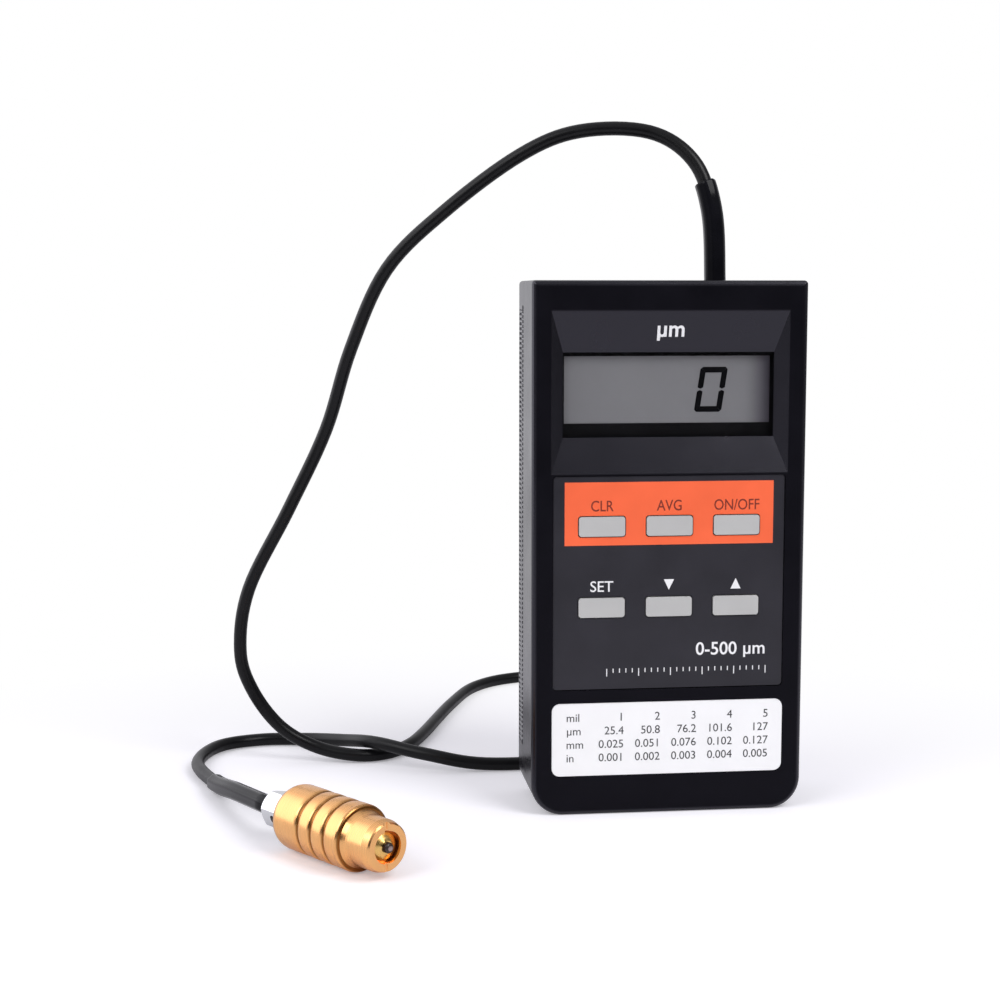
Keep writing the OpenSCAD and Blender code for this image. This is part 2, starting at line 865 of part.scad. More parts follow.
module probe_grip() {
    grooves = [grip_l - 17, grip_l - 11.5, grip_l - 6];
    color([0.8, 0.6, 0.3])
    at_probe()
        difference() {
            turned(concat(
                [[0, 0], [grip_r - 3, 0], [grip_r - 1.6, 0.5], [grip_r - 0.6, 1.5], [grip_r - 0.1, 2.8],
                    [grip_r, 4]],
                [for (g = grooves, k = [0 : 2]) [grip_r - [0, 0.55, 0][k], g + [-0.7, 0, 0.7][k]]],
                [[grip_r, grip_l - grip_edge], [grip_r - 0.3 * grip_edge, grip_l - 0.3 * grip_edge],
                    [grip_r - grip_edge, grip_l], [0, grip_l]]));
            rod(spigot_d + 2 * fit_gap, -1, spigot_l + eps);
            rod(chamber_d, spigot_l, chamber_end);
            rod(nose_spigot_d + 2 * fit_gap, chamber_end - eps, grip_l + 1);
        }
}

module probe_nose() {
    base_u = grip_l + fit_gap;
    rise = vee_w / 2 + (vee_w - vee_floor) / 2 / vee_depth;
    color([0.83, 0.65, 0.36])
    at_probe()
        difference() {
            turned(concat(
                [[0, chamber_end], [nose_spigot_d / 2, chamber_end], [nose_spigot_d / 2, base_u]],
                [for (k = [0 : 0.25 : 1]) [nose_r + flare * pow(1 - k, 2), base_u + flare_l * k]],
                [[nose_r, face_u - 2.4], [nose_r - 0.5, face_u - 0.4], [nose_r - 0.9, face_u], [0, face_u]]));
            rod(guide_d, chamber_end - 1, face_u);
            rod(bore_d, bore_floor, face_u + 1);
            rotate([0, -90, 0])
                linear_extrude(height = 40, center = true)
                    polygon([[face_u + 1, -rise], [face_u - vee_depth, -vee_floor / 2],
                        [face_u - vee_depth, vee_floor / 2], [face_u + 1, rise]]);
        }
}

module probe_plunger() {
    color([0.86, 0.7, 0.35])
    at_probe()
        difference() {
            turned([
                [0, spigot_l + plunger_travel + 1], [1.5, spigot_l + plunger_travel + 1], [1.5, flange_u],
                [flange_d / 2, flange_u], [flange_d / 2, flange_u + flange_t],
                [guide_d / 2 - fit_gap, flange_u + flange_t], [guide_d / 2 - fit_gap, head_u],
                [head_d / 2, head_u], [head_d / 2, head_u + 1], [1.7, head_u + 2.1], [0, head_u + 2.1]]);
            rod(2.3, head_u - 1.5, head_u + 3);
        }
}

module probe_tip() {
    color([0.12, 0.1, 0.1])
    at_probe()
        turned([
            [0, head_u - 1.4], [1.1, head_u - 1.4], [1.1, head_u + 2.15], [tip_d / 2, head_u + 2.15],
            [tip_d / 2, head_u + 2.9], [tip_d / 2 - 0.3, head_u + 3.35], [0, head_u + 3.6]]);
}

module probe_spring() {
    u0 = spigot_l + fit_gap + spring_wire / 2;
    u1 = flange_u - fit_gap - spring_wire / 2;
    n = spring_turns * 12;
    r = (spring_d - spring_wire) / 2;
    color([0.7, 0.7, 0.72])
    at_probe()
        tube([for (i = [0 : n]) [r * cos(i * 30), r * sin(i * 30), u0 + (u1 - u0) * i / n]],
            spring_wire / 2, 6);
}

front_shell();
rear_shell();
battery_door();
display_window();
lcd_panel();
lcd_holder();
contact_strips();
keypad_overlay();
clear_key();
average_key();
power_key();
set_key();
down_key();
up_key();
key_switches();
label_plate();
main_board();
processor();
support_chips();
crystal();
capacitors();
buzzer();
probe_socket();
probe_plug();
cord_clamp();
clamp_screws();
board_screws();
case_screws();
battery_block();
battery_terminals();
battery_snap();
red_lead();
black_lead();
case_sleeve();
probe_cord();
tail_sleeve();
probe_collar();
collar_screw();
probe_grip();
probe_nose();
probe_plunger();
probe_tip();
probe_spring();
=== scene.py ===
# Coating thickness gauge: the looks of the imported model, in the model's own frame.
# Sizes are in millimetres, and MM turns them into Blender's metres. Colours are in linear light.
from math import cos, pi, radians, sin

import bmesh
import bpy
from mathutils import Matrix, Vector
from mathutils.geometry import tessellate_polygon


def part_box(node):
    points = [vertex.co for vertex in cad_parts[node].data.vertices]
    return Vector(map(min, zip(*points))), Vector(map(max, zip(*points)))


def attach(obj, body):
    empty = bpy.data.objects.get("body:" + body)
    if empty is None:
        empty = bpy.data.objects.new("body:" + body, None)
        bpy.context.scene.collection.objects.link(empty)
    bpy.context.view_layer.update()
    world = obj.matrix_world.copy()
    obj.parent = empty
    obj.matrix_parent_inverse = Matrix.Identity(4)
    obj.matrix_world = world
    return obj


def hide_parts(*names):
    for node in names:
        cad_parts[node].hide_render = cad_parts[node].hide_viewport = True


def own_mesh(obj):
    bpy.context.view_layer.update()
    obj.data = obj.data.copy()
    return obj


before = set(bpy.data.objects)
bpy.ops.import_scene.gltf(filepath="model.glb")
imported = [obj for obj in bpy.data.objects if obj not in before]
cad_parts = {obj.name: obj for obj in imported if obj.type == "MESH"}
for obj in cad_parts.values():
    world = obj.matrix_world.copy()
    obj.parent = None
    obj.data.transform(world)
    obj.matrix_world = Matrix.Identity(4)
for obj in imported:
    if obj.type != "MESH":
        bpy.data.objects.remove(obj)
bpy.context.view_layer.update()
MM = 0.001
UP = Vector((0, 0, 1))
CASE_BODY = "gauge"
KEYS = ("clear_key", "average_key", "power_key", "set_key", "down_key", "up_key")


def front_of(node):
    """Y of the front of a node's box, in millimetres."""
    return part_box(node)[0][1] / MM


def middle_of(node):
    """Centre of a node's box, in millimetres."""
    low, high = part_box(node)
    return [(a + b) / 2 / MM for a, b in zip(low, high)]


# Places taken from the frame; the keys stand in two rows of three

CASE_HALF_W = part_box("front_shell")[1][0] / MM
CASE_FRONT = front_of("front_shell")
OVERLAY_Y = front_of("keypad_overlay")
LABEL_Y = front_of("label_plate")
LCD_FRONT = front_of("lcd_panel")
WINDOW_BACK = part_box("display_window")[1][1] / MM
KEY_X = [middle_of(key)[0] for key in KEYS[:3]]
KEY_ROW = [middle_of(key)[2] for key in KEYS[::3]]


def add_object(name, data):
    """New object in the scene."""
    made = bpy.data.objects.new(name, data)
    bpy.context.scene.collection.objects.link(made)
    return made


def look_along(thing, direction):
    """Turn a camera or a lamp so that it points along a direction."""
    thing.rotation_mode = "QUATERNION"
    thing.rotation_quaternion = direction.to_track_quat("-Z", "Y")


# Camera, and the cord's centre line

CAMERA_PLACE = Vector((-105.35, -505.96, 145.5))
CAMERA_AIM = Vector((0.11594, 0.98694, -0.11182))
CAMERA_LENS = 65.05

CORD_D = 4.0
CORD_START = Vector((15.5, 0, 123))
PROBE_REAR = Vector((-104.9, -35.2, 8.85))
PROBE_YAW = radians(-54.5)
PROBE_AXIS = Vector((cos(PROBE_YAW), sin(PROBE_YAW), 0))
# Where the cord becomes straight behind the probe, and where it ends in the collar
CORD_STRAIGHT_U = -14
CORD_END_U = -3
ROUTE_STEPS = 8
ROUTE = [
    (15.5, 0, 141), (15.5, 0, 150), (14.4, 0.4, 169.8), (9.6, 3.6, 183.9), (-2, 8.8, 192.1),
    (-21.5, 13, 192.5), (-38, 17, 186), (-59, 23, 170.5), (-76, 29, 153.5), (-86.5, 36, 130),
    (-94, 42, 105.5), (-105.5, 46, 81), (-118, 50, 56), (-121, 52.5, 36.5), (-117.5, 53.5, 23.5),
    (-109, 54, 11.5), (-98, 53, 4.9), (-86, 50.5, 2.5), (-76.5, 52.5, 2.2), (-69, 61, 2.2),
    (-62.5, 77, 2.2), (-49.5, 119, 2.2), (-38, 147, 2.2), (-21.5, 161, 2.2), (3, 163, 2.2),
    (29, 147, 2.2), (40, 109, 2.2), (19, 62, 2.2), (-18, 39.5, 2.2), (-46, 35.8, 2.3),
    (-65, 39, 5.2), (-79.5, 48.5, 6.8), (-89, 62, 4.5), (-101, 73.5, 2.4), (-116, 75, 2.2),
    (-129, 67.5, 2.2), (-134.4, 47, 2.2), (-128, 20.5, 3.1), (-121.3, -1, 6.2)]


def probe_point(u):
    """Point on the probe's axis, u in front of the grip's rear face."""
    return PROBE_REAR + u * PROBE_AXIS


def smooth_route(points, steps):
    """Catmull-Rom curve through the points."""
    p = [2 * points[0] - points[1]] + points + [2 * points[-1] - points[-2]]
    out = []
    for a, b, c, d in zip(p, p[1:], p[2:], p[3:]):
        for k in range(steps):
            t = k / steps
            out.append(0.5 * (2 * b + (c - a) * t + (2 * a - 5 * b + 4 * c - d) * t ** 2
                              + (3 * b - a - 3 * c + d) * t ** 3))
    return out + [points[-1]]


def make_camera():
    data = bpy.data.cameras.new("camera")
    data.lens = CAMERA_LENS
    camera = add_object("camera", data)
    camera.location = CAMERA_PLACE * MM
    look_along(camera, CAMERA_AIM)
    bpy.context.scene.camera = camera


def cord_line():
    """Points from the cord's plug in the case to its end in the probe's collar, and their length."""
    curve = smooth_route([Vector(p) for p in ROUTE] + [probe_point(CORD_STRAIGHT_U)], ROUTE_STEPS)
    points = [CORD_START] + curve + [probe_point(CORD_END_U)]
    return points, sum((b - a).length for a, b in zip(points, points[1:]))


make_camera()
cord_points, cord_length = cord_line()


# Mesh helpers: a loop is a list of point numbers, a solid is a closed mesh

# Distance at which points are merged, slack at the end of a line, and sideways run of an upright line
SAME_POINT = 0.001
TINY = 1e-6
UPRIGHT = 0.01
# Angles over which an edge stays sharp, in degrees
SHARP_PLAIN = 30
SHARP_TURNED = 40
SHARP_TUBE = 60
# Print: ink thickness, steps in a letter's curves, and the share of a font's size that its capitals fill
INK_T = 0.03
LETTER_STEPS = 4
CAP_SHARE = 0.7
# Number of waves round a shrunk sleeve
SLEEVE_WAVES = 7


class Solid:
    """Collects loops and faces of one closed mesh."""

    def __init__(self):
        self.points = []
        self.faces = []

    def loop(self, points):
        start = len(self.points)
        self.points += [Vector(p) for p in points]
        return list(range(start, len(self.points)))

    def bridge(self, a, b):
        """Quads between two loops of the same length."""
        for i in range(len(a)):
            j = (i + 1) % len(a)
            self.faces.append((a[i], a[j], b[j], b[i]))

    def loft(self, loops):
        for a, b in zip(loops, loops[1:]):
            self.bridge(a, b)

    def fill(self, outer, holes=(), flip=False):
        """Triangles over a flat outline with holes."""
        rings = [outer, *holes]
        index = [i for ring in rings for i in ring]
        for tri in tessellate_polygon([[self.points[i] for i in ring] for ring in rings]):
            face = tuple(index[i] for i in tri)
            self.faces.append(face[::-1] if flip else face)

    def close(self, loops):
        """Skin through the loops, with flat ends."""
        self.loft(loops)
        self.fill(loops[0])
        self.fill(loops[-1])

    def piece(self, name, finish, body=CASE_BODY, sharp=SHARP_PLAIN):
        """Piece that rides on a body."""
        build = bmesh.new()
        corners = [build.verts.new(p * MM) for p in self.points]
        for face in self.faces:
            build.faces.new([corners[i] for i in face])
        bmesh.ops.remove_doubles(build, verts=build.verts, dist=SAME_POINT * MM)
        bmesh.ops.recalc_face_normals(build, faces=build.faces)
        mesh = bpy.data.meshes.new(name)
        build.to_mesh(mesh)
        build.free()
        mesh.set_sharp_from_angle(angle=radians(sharp))
        piece = add_object(name, mesh)
        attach(piece, body)
        mesh.materials.append(FINISH[finish])
        return piece


def rectangle(x0, x1, z0, z1, r=0.0, steps=6):
    """Outline (x, z) of a rectangle, anticlockwise from the front, with round corners where r isn't zero."""
    if r == 0:
        return [(x0, z0), (x1, z0), (x1, z1), (x0, z1)]
    centres = ((x0 + r, z0 + r), (x1 - r, z0 + r), (x1 - r, z1 - r), (x0 + r, z1 - r))
    out = []
    for quarter, (x, z) in enumerate(centres):
        for k in range(steps + 1):
            a = pi + pi / 2 * (quarter + k / steps)
            out.append((x + r * cos(a), z + r * sin(a)))
    return out


def add_plate(solid, outer, holes, y_front, y_back):
    """Thin closed plate between two planes; outlines are lists of (x, z)."""
    rings = [outer, *holes]
    front = [solid.loop([(x, y_front, z) for x, z in ring]) for ring in rings]
    back = [solid.loop([(x, y_back, z) for x, z in ring]) for ring in rings]
    solid.fill(front[0], front[1:])
    solid.fill(back[0], back[1:], flip=True)
    for a, b in zip(front, back):
        solid.bridge(b, a)


def add_print(solid, outer, holes=()):
    """Flat ink on the keypad overlay."""
    add_plate(solid, outer, holes, OVERLAY_Y - INK_T, OVERLAY_Y)


def add_text(solid, text, x, z, height, y_of, align="CENTER", bold=0.0, width=1.0):
    """Raised print: capitals of that height, standing INK_T proud of the surface y_of(z)."""
    curve = bpy.data.curves.new("lettering", "FONT")
    curve.body = text
    curve.align_x = align
    curve.size = height / CAP_SHARE
    curve.offset = bold
    curve.extrude = INK_T / 2
    curve.resolution_u = LETTER_STEPS
    holder = add_object("lettering", curve)
    mesh = bpy.data.meshes.new_from_object(holder.evaluated_get(bpy.context.evaluated_depsgraph_get()))
    start = len(solid.points)
    for v in mesh.vertices:
        place_z = z + v.co.y
        solid.points.append(Vector((x + width * v.co.x, y_of(place_z) - INK_T / 2 - v.co.z, place_z)))
    solid.faces += [tuple(start + i for i in p.vertices) for p in mesh.polygons]
    bpy.data.objects.remove(holder)
    bpy.data.curves.remove(curve)
    bpy.data.meshes.remove(mesh)


def evenly(start, end, step):
    """Evenly spaced distances, about a step apart."""
    count = round((end - start) / step)
    return [start + (end - start) * k / count for k in range(count + 1)]


def places_along(points, distances):
    """Places at rising distances along a line of points."""
    wanted = list(distances)
    out = []
    done = 0.0
    for a, b in zip(points, points[1:]):
        run = (b - a).length
        while wanted and wanted[0] <= done + run + TINY:
            out.append(a.lerp(b, (wanted.pop(0) - done) / run))
        done += run
    return out


def circle(centre, radii, side, up):
    """Points round a centre, in the plane of side and up, one for each radius."""
    out = []
    for k, r in enumerate(radii):
        a = 2 * pi * k / len(radii)
        out.append(centre + r * (cos(a) * side + sin(a) * up))
    return out


def rings_along(solid, points, radii, sides, wave=0.0):
    """Rings round a line of points, without twist; a wave makes them slightly uneven."""
    ripple = [wave * cos(SLEEVE_WAVES * 2 * pi * k / sides) for k in range(sides)]
    side = UP.cross(points[1] - points[0])
    if side.length < UPRIGHT:
        side = Vector((1, 0, 0))
    loops = []
    for i, (p, r) in enumerate(zip(points, radii)):
        along = (points[min(i + 1, len(points) - 1)] - points[max(i - 1, 0)]).normalized()
        side = (side - side.dot(along) * along).normalized()
        loops.append(solid.loop(circle(p, [r + w for w in ripple], side, along.cross(side))))
    return loops


def turn(solid, profile, sides):
    """Rings round the probe's axis through (u, r) points."""
    side = UP.cross(PROBE_AXIS)
    return [solid.loop(circle(probe_point(u), [r] * sides, side, UP)) for u, r in profile]


# Node helpers

# Usual range of a noise, and the detail of a fine one
NOISE_LOW = 0.3
NOISE_HIGH = 0.7
FINE = 2.0
WHITE = (1, 1, 1)
# Vector operations that give a number
GIVES_NUMBER = ("DOT_PRODUCT", "DISTANCE", "LENGTH")
# Inputs and output of the Mix node, for numbers and for colours
MIX_SOCKETS = {"FLOAT": ((0, 2, 3), 0), "RGBA": ((0, 6, 7), 2)}


class Graph:
    """Adds nodes to one shader tree and joins them."""

    def __init__(self, tree):
        self.tree = tree

    def join(self, value, socket):
        """Link an output to a socket, or set a plain value; a colour gets its alpha here."""
        if isinstance(value, bpy.types.NodeSocket):
            self.tree.links.new(value, socket)
        elif socket.type == "RGBA":
            socket.default_value = (*value, 1)
        else:
            socket.default_value = value

    def node(self, kind, settings=None, **inputs):
        made = self.tree.nodes.new(kind)
        for key, value in (settings or {}).items():
            setattr(made, key, value)
        for key, value in inputs.items():
            self.join(value, made.inputs[key.replace("_", " ")])
        return made

    def feed(self, made, values):
        """Join values to a node's inputs, in their order."""
        for value, socket in zip(values, made.inputs):
            self.join(value, socket)
        return made

    def combine(self, kind, *values):
        """Shader made of others."""
        return self.feed(self.node(kind), values).outputs[0]

    def maths(self, operation, *values):
        return self.feed(self.node("ShaderNodeMath", {"operation": operation}), values).outputs[0]

    def vectors(self, operation, *values):
        made = self.feed(self.node("ShaderNodeVectorMath", {"operation": operation}), values)
        return made.outputs["Value" if operation in GIVES_NUMBER else "Vector"]

    def split(self, vector):
        """X, Y and Z of a vector."""
        return self.node("ShaderNodeSeparateXYZ", Vector=vector).outputs

    def mix(self, kind, *values):
        """Mix of two numbers or two colours; the values are a factor and the two."""
        slots, output = MIX_SOCKETS[kind]
        made = self.node("ShaderNodeMix", {"data_type": kind})
        for value, slot in zip(values, slots):
            self.join(value, made.inputs[slot])
        return made.outputs[output]

    def blend(self, factor, a, b):
        """Colour between a and b."""
        return self.mix("RGBA", factor, a, b)

    def span(self, value, low, high, start=NOISE_LOW, end=NOISE_HIGH, easing="LINEAR"):
        """Number that runs from low to high as the value runs from start to end."""
        made = self.node("ShaderNodeMapRange", {"interpolation_type": easing}, Value=value,
                         From_Min=start, From_Max=end, To_Min=low, To_Max=high)
        return made.outputs["Result"]

    def ease(self, value, strengths, places):
        """Smooth step from one strength to another between two places."""
        return self.span(value, *strengths, *places, "SMOOTHSTEP")


class Finish(Graph):
    """Material around one Principled shader, with textures in the model's frame."""

    def __init__(self, name, **values):
        self.material = bpy.data.materials.new(name)
        self.material.use_nodes = True
        super().__init__(self.material.node_tree)
        self.shader = self.tree.nodes["Principled BSDF"]
        self.coords = self.node("ShaderNodeTexCoord").outputs["Object"]
        for socket, value in values.items():
            self.set(socket.replace("_", " "), value)

    def set(self, socket, value):
        self.join(value, self.shader.inputs[socket])

    def noise(self, size, detail=3.0):
        """Noise with features of about that size in millimetres."""
        made = self.node("ShaderNodeTexNoise", Vector=self.coords, Scale=1 / (size * MM), Detail=detail)
        return made.outputs["Fac"]

    def fade(self, value, start, end, low=0.0, high=1.0, easing="LINEAR"):
        """Number that runs from low to high between two places in millimetres."""
        return self.span(value, low, high, start * MM, end * MM, easing)

    def within(self, value, start, end, edge=0.05):
        """One between two places in millimetres, else zero."""
        return self.maths("MULTIPLY", self.fade(value, start - edge, start),
                          self.fade(value, end, end + edge, 1, 0))

    def mottle(self, noise, dark, light):
        """Colour that wanders between two shades with a noise."""
        return self.blend(self.span(noise, 0, 1), dark, light)

    def bump(self, height, depth, strength=0.5):
        """Bump of that depth in millimetres."""
        made = self.node("ShaderNodeBump", Height=height, Strength=strength, Distance=depth * MM)
        return made.outputs["Normal"]


def scaled(colour, k):
    return tuple(min(1.0, c * k) for c in colour)


# Moulded, printed and plated surfaces

def moulded(name, colour, rough, grain=0.3, depth=0.01, patch=14, spread=0.15, uneven=0.12, spec=0.5):
    """Moulded or printed surface: fine grain, slightly uneven colour and gloss."""
    f = Finish(name, Specular_IOR_Level=spec)
    patches = f.noise(patch)
    f.set("Base Color", f.mottle(patches, scaled(colour, 1 - spread), scaled(colour, 1 + spread)))
    f.set("Roughness", f.span(patches, rough * (1 - uneven), rough * (1 + uneven)))
    f.set("Normal", f.bump(f.noise(grain, FINE), depth))
    return f.material


def plated(name, colour, rough, patch=6, smudged=0.93, uneven=0.25, grain=0.5, depth=0.004, strength=0.4):
    """Plain metal with faint smudges."""
    f = Finish(name, Metallic=1.0)
    smudge = f.noise(patch)
    f.set("Base Color", f.mottle(smudge, scaled(colour, smudged), colour))
    f.set("Roughness", f.span(smudge, rough * (1 - uneven), rough * (1 + uneven)))
    f.set("Normal", f.bump(f.noise(grain), depth, strength))
    return f.material


# Case: the front skin is matt, the rest glossier, and the cuts between the side ribs carry a painted sheen
# of light grey

BLACK = (0.004, 0.0038, 0.006)
PLASTIC_TINT = (0.87, 0.85, 1)
# Painted sheen: light grey in the rib cuts, standing in for the bright reflection along the side
PAINTED_RIB_SHEEN = (0.12, 0.12, 0.13)
CASE_PATCH = 14
CASE_SPREAD = 0.15
CASE_GRAIN = 0.45
CASE_GRAIN_DEPTH = 0.006
# Depth of the cuts, depth that stays black, and the reach of the ribs
RIB_CUT = 0.4
RIB_SKIN = 0.04
RIBS_Y = (6.4, 13.05)
RIBS_Z = (16.0, 143.0)
# Depth over which the matt front turns glossy
FRONT_SKIN = (0.02, 0.15)
# Roughness and reflection on the front skin, then elsewhere
CASE_ROUGH_LEAST = (0.38, 0.23)
CASE_ROUGH_MOST = (0.46, 0.28)
CASE_SPEC = (0.1, 0.5)


def case_plastic(name):
    f = Finish(name, Specular_Tint=PLASTIC_TINT)
    x, y, z = f.split(f.coords)
    ribs = f.within(f.maths("ABSOLUTE", x), CASE_HALF_W - RIB_CUT, CASE_HALF_W - RIB_SKIN)
    ribs = f.maths("MULTIPLY", ribs, f.within(y, *RIBS_Y))
    ribs = f.maths("MULTIPLY", ribs, f.within(z, *RIBS_Z))
    patches = f.noise(CASE_PATCH)
    black = f.mottle(patches, scaled(BLACK, 1 - CASE_SPREAD), scaled(BLACK, 1 + CASE_SPREAD))
    # Painted sheen of light grey in the rib cuts, over the black
    f.set("Base Color", f.blend(ribs, black, PAINTED_RIB_SHEEN))
    gloss = f.fade(y, CASE_FRONT + FRONT_SKIN[0], CASE_FRONT + FRONT_SKIN[1])
    f.set("Specular IOR Level", f.span(gloss, *CASE_SPEC, 0, 1))
    least = f.span(gloss, *CASE_ROUGH_LEAST, 0, 1)
    most = f.span(gloss, *CASE_ROUGH_MOST, 0, 1)
    f.set("Roughness", f.span(patches, least, most))
    f.set("Normal", f.bump(f.noise(CASE_GRAIN, FINE), CASE_GRAIN_DEPTH))
    return f.material


# Probe: turned brass with tarnish and painted shade in the grooves of the grip, and the cored tip

BRASS = (1.0, 0.52, 0.205)
BRIGHT_BRASS = (0.95, 0.6, 0.2)
# Tarnish and painted shade: dark brown below this radius, in the grooves and on the grip's rounded ends
TARNISH_AND_SHADE = (0.3, 0.12, 0.03)
TARNISH_AND_SHADE_R = 8.6
TARNISH_AND_SHADE_BLEND = 0.35
RING_DARK = 0.82
RING_UNEVEN = 0.3
RING_DEPTH = 0.01
RING_STRENGTH = 0.6
BRASS_PATCH = 5
BRASS_PATCH_LIGHT = 1.12
BRASS_PATCH_SHARE = 0.35
CORE = (0.36, 0.27, 0.26)
# Radii over which the core turns into the ring
CORE_R = (0.6, 0.72)
CORE_METAL = 0.7
FERRITE = ((0.022, 0.012, 0.01), (0.04, 0.022, 0.018))
FERRITE_GRAIN = 0.3


def from_axis(f):
    """Distance from the probe's axis, in metres."""
    arm = f.vectors("SUBTRACT", f.coords, tuple(PROBE_REAR * MM))
    return f.vectors("LENGTH", f.vectors("CROSS_PRODUCT", arm, tuple(PROBE_AXIS)))


def turned_brass(name, colour, rough, pitch=0.3, tarnish_and_shade_r=None):
    """Turned brass: fine rings along the probe's axis, darker where the radius falls below the given radius:
    tarnish, and painted shade in the grooves and at the grip's rounded ends.
    """
    f = Finish(name, Metallic=1.0)
    along = f.vectors("DOT_PRODUCT", f.coords, tuple(PROBE_AXIS))
    rings = f.node("ShaderNodeTexNoise", {"noise_dimensions": "1D"}, W=along,
                   Scale=1 / (pitch * MM), Detail=FINE).outputs["Fac"]
    tint = f.mottle(rings, scaled(colour, RING_DARK), colour)
    patches = f.span(f.noise(BRASS_PATCH), 0, BRASS_PATCH_SHARE)
    tint = f.blend(patches, tint, scaled(colour, BRASS_PATCH_LIGHT))
    if tarnish_and_shade_r:
        # Tarnish and painted shade where the radius is small
        clear_of_tarnish_and_shade = f.fade(from_axis(f), tarnish_and_shade_r - TARNISH_AND_SHADE_BLEND, tarnish_and_shade_r)
        tint = f.blend(clear_of_tarnish_and_shade, TARNISH_AND_SHADE, tint)
    f.set("Base Color", tint)
    f.set("Roughness", f.span(rings, rough * (1 - RING_UNEVEN), rough * (1 + RING_UNEVEN)))
    f.set("Normal", f.bump(rings, RING_DEPTH, RING_STRENGTH))
    return f.material


def cored_tip(name, rough):
    """Dark ring round a lighter polished core."""
    f = Finish(name, Roughness=rough)
    outside = f.fade(from_axis(f), *CORE_R)
    f.set("Base Color", f.blend(outside, CORE, f.mottle(f.noise(FERRITE_GRAIN), *FERRITE)))
    f.set("Metallic", f.span(outside, CORE_METAL, 0, 0, 1))
    return f.material


# Display: a grey reflective panel with painted shade towards its right end, behind a clear window

LCD_GREY = ((0.178, 0.178, 0.189), (0.2, 0.2, 0.21))
LCD_CLOUD = 30
# Painted shade at the panel's right end: its colour, its span in x and its largest share
LCD_PAINTED_SHADE = (0.045, 0.04, 0.055)
LCD_PAINTED_SHADE_X = (21.5, 29.3)
LCD_PAINTED_SHADE_MOST = 0.95
LCD_GRAIN = 0.25
LCD_GRAIN_DEPTH = 0.003
SMEAR = 9
SMEAR_ROUGH = (0.03, 0.07)


def lcd_glass(name, rough):
    f = Finish(name, Roughness=rough)
    # Painted shade: the panel colour darkens towards its right end, as if shaded by the funnel's wall
    painted_shade = f.fade(f.split(f.coords)["X"], *LCD_PAINTED_SHADE_X, 0, LCD_PAINTED_SHADE_MOST, "SMOOTHSTEP")
    f.set("Base Color", f.blend(painted_shade, f.mottle(f.noise(LCD_CLOUD), *LCD_GREY), LCD_PAINTED_SHADE))
    f.set("Normal", f.bump(f.noise(LCD_GRAIN, FINE), LCD_GRAIN_DEPTH))
    return f.material


def clear_film(name, ior=1.49):
    """Clear sheet: a mirror that shows as much as a sheet of this index reflects."""
    f = Finish(name, Base_Color=WHITE, Metallic=1.0)
    f.set("Roughness", f.span(f.noise(SMEAR), *SMEAR_ROUGH))
    outside = f.maths("SUBTRACT", 1.0, f.node("ShaderNodeNewGeometry").outputs["Backfacing"])
    f.set("Alpha", f.maths("MULTIPLY", f.node("ShaderNodeFresnel", IOR=ior).outputs["Fac"], outside))
    return f.material


# Finishes, and which solid has which; the number after a colour is the roughness

INK = {"rough": 0.5, "depth": 0.002}

FINISH = {
    "case": case_plastic("case_black"),
    "door": moulded("door_black", BLACK, 0.28, grain=0.45, depth=0.006, spec=0.45),
    "film": moulded("overlay_film", (0.021, 0.02, 0.027), 0.38, depth=0.006, spec=0.35),
    "orange": moulded("orange_print", (0.93, 0.135, 0.042), 0.42, depth=0.004, spread=0.05),
    "key": moulded("key_grey", (0.48, 0.48, 0.475), 0.42, grain=0.35, spread=0.04),
    "label": moulded("label_white", (0.93, 0.93, 0.94), 0.35, grain=0.5, depth=0.004, spread=0.02),
    "white_ink": moulded("white_ink", (0.85, 0.85, 0.87), spread=0.03, **INK),
    "dark_ink": moulded("dark_ink", (0.03, 0.03, 0.035), **INK),
    "red_ink": moulded("red_ink", (0.2, 0.02, 0.008), **INK),
    "lcd": lcd_glass("lcd_grey", 0.4),
    "segment": moulded("lcd_segment", (0.004, 0.004, 0.005), 0.4, grain=0.2, depth=0.001, spec=0.05),
    "mask": moulded("window_mask", (0.003, 0.003, 0.004), 0.4, depth=0.002, spec=0.15),
    "window": clear_film("clear_window"),
    "cord": moulded("cord_vinyl", (0.005, 0.005, 0.006), 0.34, grain=0.5, depth=0.012, patch=8, spec=0.22),
    "sleeve": moulded("shrink_sleeve", (0.006, 0.006, 0.008), 0.1, grain=0.8, depth=0.004, patch=5,
                      spec=0.1),
    "brass": turned_brass("turned_brass", BRASS, 0.27, pitch=0.22, tarnish_and_shade_r=TARNISH_AND_SHADE_R),
    "nose_brass": turned_brass("nose_brass", BRASS, 0.25),
    "bright_brass": turned_brass("bright_brass", BRIGHT_BRASS, 0.26),
    "chrome": plated("bright_chrome", (0.82, 0.83, 0.85), 0.1),
    "steel": plated("zinc_steel", (0.5, 0.5, 0.51), 0.32),
    "black_steel": plated("black_steel", (0.05, 0.05, 0.055), 0.35),
    "ferrite": cored_tip("cored_ferrite", 0.3),
    "board": moulded("solder_mask", (0.02, 0.1, 0.045), 0.3, grain=0.6),
    "epoxy": moulded("chip_epoxy", (0.012, 0.012, 0.013), 0.5, grain=0.2),
    "nylon": moulded("natural_nylon", (0.7, 0.69, 0.63), 0.4),
    "red_vinyl": moulded("red_vinyl", (0.45, 0.02, 0.02), 0.4),
    "jacket": moulded("battery_jacket", (0.02, 0.03, 0.09), 0.3, grain=0.6, depth=0.004),
    "strip": moulded("contact_rubber", (0.6, 0.2, 0.25), 0.55, grain=0.2),
    "can": moulded("blue_film", (0.02, 0.025, 0.1), 0.3, grain=0.5, depth=0.004),
}

